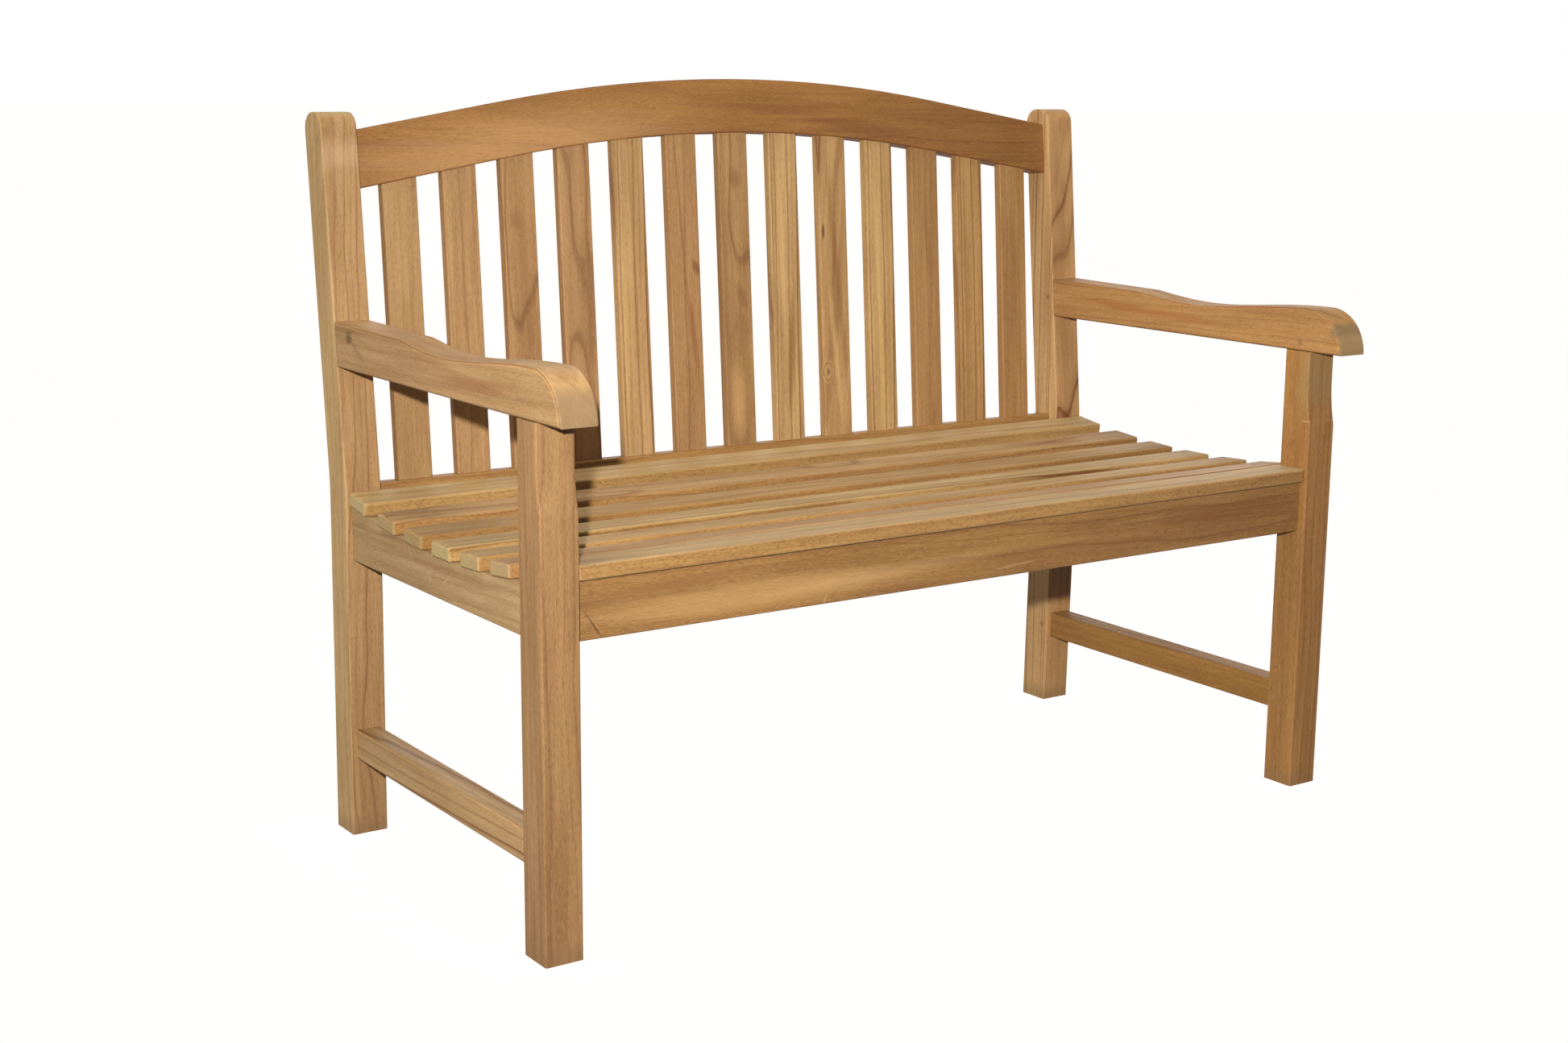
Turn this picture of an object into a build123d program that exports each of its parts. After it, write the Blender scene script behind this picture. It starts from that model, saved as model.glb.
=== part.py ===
from build123d import *
import math
import os
from collections import namedtuple

# A two-seat teak garden bench with an arched crest rail. Millimetres, +X along the length,
# -Y to the front, +Z up. The origin is on the floor, under the middle of the bench.

# Overall sizes
overall_length = 1220  # outer faces of the legs
overall_depth = 651  # arm noses to the backs of the post tops
overall_height = 962  # floor to the crown of the crest rail

# Legs
leg_width = 48  # along X, all four
front_leg_depth = 50
back_leg_depth = 51
rake = math.radians(5.35)  # lean of the posts above the seat
kick = math.radians(1.25)  # lean of the back legs below it
bend_z = 455  # height at which the back legs bend
bend_radius = 250
post_rise = 22  # post top above the crest rail's end
post_round = 21  # rounding of the post top, front and rear
step_depth = 7  # the front leg's face steps back above the seat
step_low_z = 508
step_high_z = 565

# Rails and apron
rail_width = 32  # side rails, stretchers and bearer
side_rail_bottom_z = 364
apron_thickness = 30
apron_setback = 12  # behind the front legs' faces
apron_bottom_z = 362
stretcher_bottom_z = 102
stretcher_height = 39
bearer_bottom_z = 386

# Back
crest_height = 73
crest_thickness = 35
crest_setback = 12  # square to the raked face of the posts
arch_radius = 2100
arch_half_span = 350  # the arch runs straight beyond this
back_rail_top_z = 457
back_rail_height = 72
back_rail_thickness = 30
back_rail_setback = 18
back_slat_count = 13
back_slat_width = 48
back_slat_thickness = 14
back_slat_low_setback = 25  # slats' front faces behind the posts' faces, at the lower rail
back_slat_high_setback = 15.5  # and at the crest rail's crown
back_slat_housing = 14  # how deep a slat stands in each rail

# Seat
seat_front_z = 449  # top of the front slat
seat_low_z = 433  # top of the slats at the bottom of the dish
seat_rear_rise = 21
seat_slat_count = 7
seat_slat_width = 48
seat_slat_thickness = 18
front_slat_setback = 4
rear_slat_extra_gap = 8
slat_end_inset = 3  # slat ends inside the legs' outer faces
slat_end_gap = 0.5  # front slat to each front leg
rear_slat_gap = 1.5  # rear slat to the posts

# Arms
nose_overhang = 46  # arm nose in front of the front leg
arm_bottom_z = 608
arm_height_at_post = 56.5
arm_height_at_knuckle = 53.5
arm_height_at_dip = 44.5
arm_nose_radius = 58
knuckle_from_nose = 391
dip_from_nose = 278
knuckle_slope = 0.14

# Joints
tenon_thickness = 12
tenon_length = 28
tenon_root = 6  # how far a tenon's block reaches back into its own piece
tenon_shoulder = 6  # shoulder above or below a tenon, at the least
tenon_wall = 6  # wood left between two tenons that cross in a leg
side_tenon_height = 24
arm_tenon_height = 36
crest_tenon_height = 48
stub_tenon_length = 12
joint_clearance = 0.15
pin_radius = 4
pin_length = 34
pin_from_shoulder = 12
pin_clearance = 0.05
dowel_radius = 4
dowel_in_slat = 10
dowel_in_rail = 14
front_dowel_count = 4
end_gap = 1  # room past the end of a pin, a dowel or a slat in its hole

# Eased edges
leg_easing = 2.5
rail_easing = 2
crest_easing = 3
arm_easing = 3.5
seat_slat_easing = 3
back_slat_easing = 2

# Places worked out from the sizes above
half_length = overall_length / 2
half_clear = half_length - leg_width  # centre to the legs' inner faces
front_y = nose_overhang - overall_depth / 2  # front legs' front faces
front_leg_rear_y = front_y + front_leg_depth
nose_y = -overall_depth / 2
apron_front_y = front_y + apron_setback
apron_rear_y = apron_front_y + apron_thickness
apron_top_z = seat_front_z - seat_slat_thickness
stretcher_top_z = stretcher_bottom_z + stretcher_height
rail_inset = (leg_width - rail_width) / 2
tan_rake, cos_rake, sin_rake = math.tan(rake), math.cos(rake), math.sin(rake)


def arch_drop(x):
    """How far the crest's arch has fallen at x from its crown."""
    near = min(abs(x), arch_half_span)
    fall = math.sqrt(arch_radius**2 - near**2)
    slope = near / fall
    return arch_radius - fall + slope * (abs(x) - near)


crest_end_top_z = overall_height - arch_drop(half_clear) * cos_rake
post_top_z = crest_end_top_z + post_rise
round_centre_z = post_top_z - post_round
bend_y = (
    overall_depth / 2
    - post_round * (1 - 1 / cos_rake)
    - tan_rake * (round_centre_z - bend_z)
    - back_leg_depth
)


def leg_face_y(z):
    """The back legs' front face at height z."""
    if z > bend_z:
        return bend_y + tan_rake * (z - bend_z)
    return bend_y + math.tan(kick) * (bend_z - z)


def raked_y(z, setback):
    """A raked face, set back behind the posts' front face, at height z."""
    return bend_y + tan_rake * (z - bend_z) + setback / cos_rake


def up_rake(z, setback):
    """How far up the rake a point of that raked face lies."""
    return (z - bend_z + setback * sin_rake) / cos_rake


# The raked plane of the posts' front faces: local X is the length, Y runs up, Z to the front.
back_plane = Plane(origin=(0, bend_y, bend_z), x_dir=(1, 0, 0), z_dir=(0, -cos_rake, sin_rake))


def x_low(side, width, inset):
    """The lower X of a piece at one side (-1 left, 1 right), inset from the legs' outer face."""
    return -half_length + inset if side < 0 else half_length - inset - width


# Joints. A tenon's block is used twice: its own piece adds it, and the other piece takes it
# away, grown by the clearance.
Tenon = namedtuple("Tenon", "plane centre size")
Pin = namedtuple("Pin", "start direction")


def add_tenon(tenon):
    with Locations(tenon.plane):
        with Locations(tenon.centre):
            Box(*tenon.size)


def cut_mortise(tenon):
    grown = [size + 2 * joint_clearance for size in tenon.size]
    with Locations(tenon.plane):
        with Locations(tenon.centre):
            Box(*grown, mode=Mode.SUBTRACT)


def pin_plane(pin):
    return Plane(origin=pin.start, z_dir=pin.direction)


def make_pin(pin):
    with Locations(pin_plane(pin)):
        Cylinder(pin_radius, pin_length, align=(Align.CENTER, Align.CENTER, Align.MIN))


def cut_pin_hole(pin):
    with Locations(pin_plane(pin)):
        Cylinder(
            pin_radius + pin_clearance,
            pin_length + end_gap,
            align=(Align.CENTER, Align.CENTER, Align.MIN),
            mode=Mode.SUBTRACT,
        )


def span(low, high):
    """Centre and length of a stretch."""
    return (low + high) / 2, high - low


# Heights of the tenons that cross inside a leg: the side rails' are low, the others above them.
side_tenon_low_z = side_rail_bottom_z + tenon_shoulder
side_tenon_high_z = side_tenon_low_z + side_tenon_height
cross_tenon_low_z = side_tenon_high_z + tenon_wall


def raked_tenon(side, low, high, depth):
    """Along X into a post's inner face, between two levels up the rake."""
    x, length = span(half_clear - tenon_root, half_clear + tenon_length)
    middle, height = span(low, high)
    return Tenon(back_plane, (side * x, middle, -depth), (length, height, tenon_thickness))


def crest_tenon(side):
    middle = up_rake(crest_end_top_z, crest_setback) - crest_height / 2
    half = crest_tenon_height / 2
    return raked_tenon(side, middle - half, middle + half, crest_setback + crest_thickness / 2)


def back_rail_tenon(side):
    top = up_rake(back_rail_top_z, back_rail_setback) - tenon_shoulder
    bottom = up_rake(cross_tenon_low_z, back_rail_setback)
    return raked_tenon(side, bottom, top, back_rail_setback + back_rail_thickness / 2)


def apron_tenon(side):
    x, length = span(half_clear - tenon_root, half_clear + tenon_length)
    y = (apron_front_y + apron_rear_y) / 2
    z, height = span(cross_tenon_low_z, apron_top_z - tenon_shoulder)
    return Tenon(Plane.XY, (side * x, y, z), (length, tenon_thickness, height))


def crosswise_tenon(side, low_y, high_y, low_z, high_z):
    """A tenon along Y on the middle of a leg's width."""
    x = side * (half_length - leg_width / 2)
    y, length = span(low_y, high_y)
    z, height = span(low_z, high_z)
    return Tenon(Plane.XY, (x, y, z), (tenon_thickness, length, height))


def front_end_tenon(side, low_z, high_z):
    """Into the front leg's rear face."""
    inner = front_leg_rear_y - tenon_length
    return crosswise_tenon(side, inner, front_leg_rear_y + tenon_root, low_z, high_z)


def rear_end_tenon(side, low_z, high_z):
    """Into the back leg's front face."""
    face = leg_face_y((low_z + high_z) / 2)
    return crosswise_tenon(side, face - tenon_root, face + tenon_length, low_z, high_z)


def side_rail_tenons(side):
    return (
        front_end_tenon(side, side_tenon_low_z, side_tenon_high_z),
        rear_end_tenon(side, side_tenon_low_z, side_tenon_high_z),
    )


def stretcher_tenons(side):
    low_z = stretcher_bottom_z + tenon_shoulder
    high_z = stretcher_top_z - tenon_shoulder
    return front_end_tenon(side, low_z, high_z), rear_end_tenon(side, low_z, high_z)


arm_tenon_mid_z = arm_bottom_z + arm_height_at_post / 2


def arm_post_tenon(side):
    half = arm_tenon_height / 2
    return rear_end_tenon(side, arm_tenon_mid_z - half, arm_tenon_mid_z + half)


def leg_top_tenon(side):
    """Up from the front leg into the arm."""
    x = side * (half_length - leg_width / 2)
    y, depth = span(front_y + step_depth + tenon_shoulder, front_leg_rear_y - tenon_shoulder)
    z, height = span(arm_bottom_z - tenon_root, arm_bottom_z + tenon_length)
    return Tenon(Plane.XY, (x, y, z), (tenon_thickness, depth, height))


# Pins, driven from the inner faces, or from behind where a rail's end covers the inner face
def inner_pin(side, y, z):
    return Pin((side * half_clear, y, z), (side, 0, 0))


def front_leg_pins(side):
    behind_x = side * (half_clear + pin_from_shoulder)
    apron_z = (cross_tenon_low_z + apron_top_z - tenon_shoulder) / 2
    pin_y = front_leg_rear_y - pin_from_shoulder
    return {
        "apron": Pin((behind_x, front_leg_rear_y, apron_z), (0, -1, 0)),
        "side_rail": inner_pin(side, pin_y, (side_tenon_low_z + side_tenon_high_z) / 2),
        "stretcher": inner_pin(side, pin_y, (stretcher_bottom_z + stretcher_top_z) / 2),
        "arm": inner_pin(side, front_y + front_leg_depth / 2, arm_bottom_z + pin_from_shoulder),
    }


def raked_pin(side, up):
    """From the back of a post, square to the rake."""
    local = (side * (half_clear + pin_from_shoulder), up, -back_leg_depth * cos_rake)
    start = back_plane.from_local_coords(local)
    return Pin(tuple(start), tuple(back_plane.z_dir))


def back_leg_pins(side):
    side_z = (side_tenon_low_z + side_tenon_high_z) / 2
    stretcher_z = (stretcher_bottom_z + stretcher_top_z) / 2
    crest_up = crest_tenon(side).centre[1]
    return {
        "crest": raked_pin(side, crest_up),
        "back_rail": raked_pin(side, back_rail_tenon(side).centre[1]),
        "arm": inner_pin(side, leg_face_y(arm_tenon_mid_z) + pin_from_shoulder, arm_tenon_mid_z),
        "side_rail": inner_pin(side, leg_face_y(side_z) + pin_from_shoulder, side_z),
        "stretcher": inner_pin(side, leg_face_y(stretcher_z) + pin_from_shoulder, stretcher_z),
    }


# Seat dish: an arc, lowest halfway between the front legs' faces and the posts
dish_y = (front_y + bend_y) / 2
dish_half_span = (bend_y - front_y) / 2
dish_radius = (dish_half_span**2 + seat_rear_rise**2) / (2 * seat_rear_rise)
front_slat_y = front_y + front_slat_setback + seat_slat_width / 2
rear_lean = math.asin(dish_half_span / dish_radius)
rear_slat_reach = seat_slat_width / 2 * math.cos(rear_lean) + seat_slat_thickness * math.sin(rear_lean)
rear_slat_y = bend_y - rear_slat_gap - rear_slat_reach
seat_pitch = (rear_slat_y - front_slat_y - rear_slat_extra_gap) / (seat_slat_count - 1)


def seat_slat_plane(number):
    """The plane of a slat's top, tangent to the dish. Slat 1 lies flat at the front."""
    if number == 1:
        return Plane(origin=(0, front_slat_y, seat_front_z))
    y = front_slat_y + seat_pitch * (number - 1)
    if number == seat_slat_count:
        y = rear_slat_y
    lean = math.asin((y - dish_y) / dish_radius)
    z = seat_low_z + dish_radius * (1 - math.cos(lean))
    return Plane(origin=(0, y, z), x_dir=(1, 0, 0), z_dir=(0, -math.sin(lean), math.cos(lean)))


dished_slats = range(2, seat_slat_count + 1)


def slat_underside(number):
    """The rear and front corners of a slat's underside, as (y, z)."""
    plane = seat_slat_plane(number)
    corners = []
    for across in (seat_slat_width / 2, -seat_slat_width / 2):
        corner = plane.from_local_coords((0, across, -seat_slat_thickness))
        corners.append((corner.Y, corner.Z))
    return corners


def dished_top():
    """A rail's top from rear to front, with a flat seat for each slat."""
    return [corner for number in reversed(dished_slats) for corner in slat_underside(number)]


side_bearing_x = half_length - leg_width / 2


def seat_dowel_places(x):
    """Planes on the slats' undersides where the dowels of one support stand."""
    places = []
    for number in dished_slats:
        top = seat_slat_plane(number)
        origin = top.from_local_coords((x, 0, -seat_slat_thickness))
        places.append(Plane(origin=origin, x_dir=top.x_dir, z_dir=top.z_dir))
    return places


def front_dowel_places():
    spacing = 2 * half_clear / front_dowel_count
    y = (apron_front_y + apron_rear_y) / 2
    places = []
    for index in range(front_dowel_count):
        x = spacing * (index + 0.5) - half_clear
        places.append(Plane(origin=(x, y, apron_top_z)))
    return places


def dowel_cylinders(places, clearance, room, mode):
    """A dowel, or its hole, at each place, part in the slat and part in what carries it."""
    length = dowel_in_slat + dowel_in_rail + 2 * room
    middle = (dowel_in_slat - dowel_in_rail) / 2
    for place in places:
        with Locations(place):
            with Locations((0, 0, middle)):
                Cylinder(dowel_radius + clearance, length, mode=mode)


def make_dowels(places):
    dowel_cylinders(places, 0, 0, Mode.ADD)


def cut_dowel_holes(places):
    dowel_cylinders(places, pin_clearance, end_gap, Mode.SUBTRACT)


def back_slat_x(number):
    gap = (2 * half_clear - back_slat_count * back_slat_width) / (back_slat_count + 1)
    return -half_clear + gap * number + back_slat_width * (number - 0.5)


# The slats' front faces stand a little more upright than the posts. Their plane's origin is
# level with the lower rail's top.
slats_low_up = up_rake(back_rail_top_z, back_rail_setback)
slats_high_up = up_rake(overall_height, crest_setback) - crest_height
slat_tilt = math.atan2(back_slat_low_setback - back_slat_high_setback, slats_high_up - slats_low_up)
slat_plane = Plane(
    origin=back_plane.from_local_coords((0, slats_low_up, -back_slat_low_setback)),
    x_dir=(1, 0, 0),
    z_dir=(0, -math.cos(rake - slat_tilt), math.sin(rake - slat_tilt)),
)


def back_slat_box(number, clearance, room, mode):
    visible = (slats_high_up - slats_low_up - arch_drop(back_slat_x(number))) / math.cos(slat_tilt)
    up, length = span(-back_slat_housing, visible + back_slat_housing + room)
    with Locations(slat_plane):
        with Locations((back_slat_x(number), up, -back_slat_thickness / 2)):
            Box(
                back_slat_width + 2 * clearance,
                length,
                back_slat_thickness + 2 * clearance,
                mode=mode,
            )


def keep(piece, name):
    """Label a finished piece and write it."""
    piece.part.label = name
    export_step(piece.part, f"parts/{name}.step")


def outline_edges(piece):
    """The edges round the two faces of a piece that was extruded along X."""
    return piece.faces().filter_by(Axis.X).edges()


def make_back_leg(side, name):
    with BuildPart() as leg:
        with BuildSketch(Plane.YZ.offset(x_low(side, leg_width, 0))):
            with BuildLine():
                foot, top = leg_face_y(0), leg_face_y(post_top_z)
                Polyline(
                    (foot, 0),
                    (bend_y, bend_z),
                    (top, post_top_z),
                    (top + back_leg_depth, post_top_z),
                    (bend_y + back_leg_depth, bend_z),
                    (foot + back_leg_depth, 0),
                    close=True,
                )
            make_face()
            fillet(vertices().group_by(Axis.Y)[-1], post_round)
            fillet(vertices().filter_by(lambda v: abs(v.Y - bend_z) < 1), bend_radius)
        extrude(amount=leg_width)
        fillet(outline_edges(leg).filter_by(lambda e: e.center().Z > 1), leg_easing)
        cut_mortise(crest_tenon(side))
        cut_mortise(back_rail_tenon(side))
        cut_mortise(arm_post_tenon(side))
        cut_mortise(side_rail_tenons(side)[1])
        cut_mortise(stretcher_tenons(side)[1])
        for pin in back_leg_pins(side).values():
            cut_pin_hole(pin)
    keep(leg, name)


def make_front_leg(side, name):
    with BuildPart() as leg:
        with BuildSketch(Plane.YZ.offset(x_low(side, leg_width, 0))):
            with BuildLine():
                step_y = front_y + step_depth
                Line((front_y, 0), (front_y, step_low_z))
                TangentArc((step_y, step_high_z), (front_y, step_low_z), tangent=(0, -1))
                Polyline(
                    (step_y, step_high_z),
                    (step_y, arm_bottom_z),
                    (front_leg_rear_y, arm_bottom_z),
                    (front_leg_rear_y, 0),
                    (front_y, 0),
                )
            make_face()
        extrude(amount=leg_width)
        upright = outline_edges(leg).filter_by(lambda e: 1 < e.center().Z < arm_bottom_z - 1)
        fillet(upright, leg_easing)
        add_tenon(leg_top_tenon(side))
        cut_mortise(apron_tenon(side))
        cut_mortise(side_rail_tenons(side)[0])
        cut_mortise(stretcher_tenons(side)[0])
        for pin in front_leg_pins(side).values():
            cut_pin_hole(pin)
    keep(leg, name)


def make_crest_rail(name):
    crown = up_rake(overall_height, crest_setback)
    end_drop = arch_drop(half_clear)
    bow_drop = arch_drop(arch_half_span)
    with BuildPart() as crest:
        with BuildSketch(back_plane.offset(-crest_setback)):
            with BuildLine():
                for level in (crown, crown - crest_height):
                    left = (-arch_half_span, level - bow_drop)
                    right = (arch_half_span, level - bow_drop)
                    ThreePointArc(left, (0, level), right)
                    Line((-half_clear, level - end_drop), left)
                    Line(right, (half_clear, level - end_drop))
                for x in (-half_clear, half_clear):
                    Line((x, crown - end_drop), (x, crown - crest_height - end_drop))
            make_face()
        extrude(amount=-crest_thickness)
        faces = crest.faces().filter_by(back_plane)
        long_edges = faces.edges().filter_by(lambda e: abs(e.center().X) < half_clear - 1)
        fillet(long_edges, crest_easing)
        for side in (-1, 1):
            add_tenon(crest_tenon(side))
            cut_pin_hole(back_leg_pins(side)["crest"])
        for number in range(1, back_slat_count + 1):
            back_slat_box(number, joint_clearance, end_gap, Mode.SUBTRACT)
    keep(crest, name)


def make_lower_back_rail(name):
    top = up_rake(back_rail_top_z, back_rail_setback)
    up, depth = top - back_rail_height / 2, -(back_rail_setback + back_rail_thickness / 2)
    with BuildPart() as rail:
        with Locations(back_plane):
            with Locations((0, up, depth)):
                Box(2 * half_clear, back_rail_height, back_rail_thickness)
        fillet(rail.edges().filter_by(Axis.X), rail_easing)
        for side in (-1, 1):
            add_tenon(back_rail_tenon(side))
            cut_pin_hole(back_leg_pins(side)["back_rail"])
        for number in range(1, back_slat_count + 1):
            back_slat_box(number, joint_clearance, end_gap, Mode.SUBTRACT)
        cut_mortise(bearer_tenons()[1])
    keep(rail, name)


def make_back_slat(number, name):
    with BuildPart() as slat:
        back_slat_box(number, 0, 0, Mode.ADD)
        upright = Axis((0, 0, 0), tuple(slat_plane.y_dir))
        fillet(slat.edges().filter_by(upright), back_slat_easing)
    keep(slat, name)


def make_seat_slat(number, name):
    length = overall_length - 2 * slat_end_inset
    if number == 1:
        length = 2 * half_clear - 2 * slat_end_gap
    with BuildPart() as slat:
        with Locations(seat_slat_plane(number)):
            with Locations((0, 0, -seat_slat_thickness / 2)):
                Box(length, seat_slat_width, seat_slat_thickness)
        fillet(slat.edges(), seat_slat_easing)
        if number == 1:
            cut_dowel_holes(front_dowel_places())
        else:
            for x in (-side_bearing_x, 0, side_bearing_x):
                cut_dowel_holes([seat_dowel_places(x)[number - 2]])
    keep(slat, name)


def make_apron(name):
    with BuildPart() as apron:
        y, thickness = span(apron_front_y, apron_rear_y)
        z, height = span(apron_bottom_z, apron_top_z)
        with Locations((0, y, z)):
            Box(2 * half_clear, thickness, height)
        fillet(apron.edges().filter_by(Axis.X).group_by(Axis.Z)[0], rail_easing)
        for side in (-1, 1):
            add_tenon(apron_tenon(side))
            cut_pin_hole(front_leg_pins(side)["apron"])
        cut_mortise(bearer_tenons()[0])
        cut_dowel_holes(front_dowel_places())
    keep(apron, name)


def make_side_rail(side, name):
    dish = dished_top()
    with BuildPart() as rail:
        with BuildSketch(Plane.YZ.offset(x_low(side, rail_width, rail_inset))):
            with BuildLine():
                rear_z, front_z = dish[0][1], dish[-1][1]
                Polyline(
                    (front_leg_rear_y, front_z),
                    (front_leg_rear_y, side_rail_bottom_z),
                    (leg_face_y(side_rail_bottom_z), side_rail_bottom_z),
                    (leg_face_y(rear_z), rear_z),
                    *dish,
                    close=True,
                )
            make_face()
        extrude(amount=rail_width)
        under = rail.edges().filter_by(Axis.Y).group_by(Axis.Z)[0]
        fillet(under, rail_easing)
        for tenon in side_rail_tenons(side):
            add_tenon(tenon)
        cut_pin_hole(front_leg_pins(side)["side_rail"])
        cut_pin_hole(back_leg_pins(side)["side_rail"])
        cut_dowel_holes(seat_dowel_places(side * side_bearing_x))
    keep(rail, name)


def bearer_tenons():
    """Stub tenons into the apron and into the lower back rail."""
    low_z, high_z = bearer_bottom_z + tenon_shoulder, apron_top_z - 2 * tenon_shoulder
    z, height = span(low_z, high_z)
    rail_y = raked_y(z, back_rail_setback)
    stretches = (
        (apron_rear_y - stub_tenon_length, apron_rear_y + tenon_root),
        (rail_y - tenon_root, rail_y + stub_tenon_length),
    )
    tenons = []
    for low_y, high_y in stretches:
        y, length = span(low_y, high_y)
        tenons.append(Tenon(Plane.XY, (0, y, z), (tenon_thickness, length, height)))
    return tenons


def make_centre_bearer(name):
    dish = dished_top()
    with BuildPart() as bearer:
        with BuildSketch(Plane.YZ.offset(-rail_width / 2)):
            with BuildLine():
                rear_z, front_z = dish[0][1], dish[-1][1]
                Polyline(
                    (apron_rear_y, front_z),
                    (apron_rear_y, bearer_bottom_z),
                    (raked_y(bearer_bottom_z, back_rail_setback), bearer_bottom_z),
                    (raked_y(rear_z, back_rail_setback), rear_z),
                    *dish,
                    close=True,
                )
            make_face()
        extrude(amount=rail_width)
        for tenon in bearer_tenons():
            add_tenon(tenon)
        cut_dowel_holes(seat_dowel_places(0))
    keep(bearer, name)


def make_stretcher(side, name):
    with BuildPart() as stretcher:
        with BuildSketch(Plane.YZ.offset(x_low(side, rail_width, rail_inset))):
            with BuildLine():
                Polyline(
                    (front_leg_rear_y, stretcher_bottom_z),
                    (leg_face_y(stretcher_bottom_z), stretcher_bottom_z),
                    (leg_face_y(stretcher_top_z), stretcher_top_z),
                    (front_leg_rear_y, stretcher_top_z),
                    close=True,
                )
            make_face()
        extrude(amount=rail_width)
        fillet(stretcher.edges().filter_by(Axis.Y), rail_easing)
        for tenon in stretcher_tenons(side):
            add_tenon(tenon)
        cut_pin_hole(front_leg_pins(side)["stretcher"])
        cut_pin_hole(back_leg_pins(side)["stretcher"])
    keep(stretcher, name)


def make_arm(side, name):
    post_z = arm_bottom_z + arm_height_at_post
    knuckle = (nose_y + knuckle_from_nose, arm_bottom_z + arm_height_at_knuckle)
    dip = (nose_y + dip_from_nose, arm_bottom_z + arm_height_at_dip)
    crown = (nose_y + arm_nose_radius, arm_bottom_z + arm_nose_radius)
    with BuildPart() as arm:
        with BuildSketch(Plane.YZ.offset(x_low(side, leg_width, 0))):
            with BuildLine():
                Line((leg_face_y(post_z), post_z), knuckle)
                Spline(knuckle, dip, crown, tangents=[(-1, -knuckle_slope), (-1, 0)])
                TangentArc(crown, (nose_y, arm_bottom_z), tangent=(-1, 0))
                Polyline(
                    (nose_y, arm_bottom_z),
                    (leg_face_y(arm_bottom_z), arm_bottom_z),
                    (leg_face_y(post_z), post_z),
                )
            make_face()
        extrude(amount=leg_width)
        rear_y = leg_face_y(arm_bottom_z) - 1
        fillet(outline_edges(arm).filter_by(lambda e: e.center().Y < rear_y), arm_easing)
        add_tenon(arm_post_tenon(side))
        cut_mortise(leg_top_tenon(side))
        cut_pin_hole(front_leg_pins(side)["arm"])
        cut_pin_hole(back_leg_pins(side)["arm"])
    keep(arm, name)


def make_pin_set(pins, name):
    with BuildPart() as pin_set:
        for pin in pins.values():
            make_pin(pin)
    keep(pin_set, name)


def make_dowel_set(places, name):
    with BuildPart() as dowel_set:
        make_dowels(places)
    keep(dowel_set, name)


os.makedirs("parts", exist_ok=True)

make_crest_rail("crest_rail")
make_lower_back_rail("lower_back_rail")
for number in range(1, back_slat_count + 1):
    make_back_slat(number, f"back_slat_{number:02d}")
for number in range(1, seat_slat_count + 1):
    make_seat_slat(number, f"seat_slat_{number}")
make_apron("front_apron")
make_centre_bearer("centre_bearer")
for side, hand in ((-1, "left"), (1, "right")):
    make_back_leg(side, f"back_leg_{hand}")
    make_front_leg(side, f"front_leg_{hand}")
    make_side_rail(side, f"side_rail_{hand}")
    make_stretcher(side, f"stretcher_{hand}")
    make_arm(side, f"arm_{hand}")
    make_pin_set(back_leg_pins(side), f"pins_back_leg_{hand}")
    make_pin_set(front_leg_pins(side), f"pins_front_leg_{hand}")
    make_dowel_set(seat_dowel_places(side * side_bearing_x), f"seat_dowels_{hand}")
make_dowel_set(seat_dowel_places(0), "seat_dowels_centre")
make_dowel_set(front_dowel_places(), "seat_dowels_front")
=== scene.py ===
# %% [markdown]
# # A teak garden bench
# The frame holds every board of the bench, already cut, jointed and eased. What is left for Blender
# is what a buyer sees: bare sanded teak, where each board came from a different part of a log and so
# has its own tone and its own figure. The shapes stay as they are and each board gets its own wood.

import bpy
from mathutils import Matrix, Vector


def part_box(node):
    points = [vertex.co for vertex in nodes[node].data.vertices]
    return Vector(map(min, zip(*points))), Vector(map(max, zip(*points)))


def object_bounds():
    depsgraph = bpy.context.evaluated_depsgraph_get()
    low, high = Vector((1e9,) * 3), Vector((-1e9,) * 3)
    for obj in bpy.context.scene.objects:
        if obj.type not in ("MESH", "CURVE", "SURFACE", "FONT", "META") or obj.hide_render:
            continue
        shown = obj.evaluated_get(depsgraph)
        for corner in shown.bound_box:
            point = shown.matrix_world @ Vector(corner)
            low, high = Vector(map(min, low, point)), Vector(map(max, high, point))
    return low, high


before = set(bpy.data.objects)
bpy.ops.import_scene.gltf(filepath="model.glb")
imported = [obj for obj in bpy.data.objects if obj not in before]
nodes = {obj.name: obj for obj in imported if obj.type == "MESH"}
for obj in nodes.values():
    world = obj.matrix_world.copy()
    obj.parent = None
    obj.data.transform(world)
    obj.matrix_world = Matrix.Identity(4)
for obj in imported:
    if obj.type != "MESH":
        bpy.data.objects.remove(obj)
cad_low, cad_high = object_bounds()
print("the bench measures", [round(size, 3) for size in cad_high - cad_low])

# %% What the script uses
import math
from collections import namedtuple

import bmesh
import bpy
from mathutils import Euler, Matrix, Vector

scene = bpy.context.scene
bench_middle = (cad_low + cad_high) / 2

# %% [markdown]
# ## Colours and nodes
# Colours are picked as sRGB hex values, as on any colour chart, and Blender's sockets want linear
# light, so one function turns the one into the other. A second function adds a node, with its
# settings as keywords and its sockets in a dictionary that takes either a value or a link.

# %% Two helpers
def linear(code):
    """An sRGB hex colour as linear red, green, blue and alpha."""
    channels = [int(code[place:place + 2], 16) / 255 for place in (1, 3, 5)]
    return [c / 12.92 if c <= 0.04045 else ((c + 0.055) / 1.055) ** 2.4 for c in channels] + [1.0]


def add_node(tree, kind, sockets, **settings):
    """Add a shader node. Each socket takes a value or another node's output."""
    node = tree.nodes.new("ShaderNode" + kind)
    for name, value in settings.items():
        setattr(node, name, value)
    for socket, value in sockets.items():
        if isinstance(value, bpy.types.NodeSocket):
            tree.links.new(value, node.inputs[socket])
        else:
            node.inputs[socket].default_value = value
    return node


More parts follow.
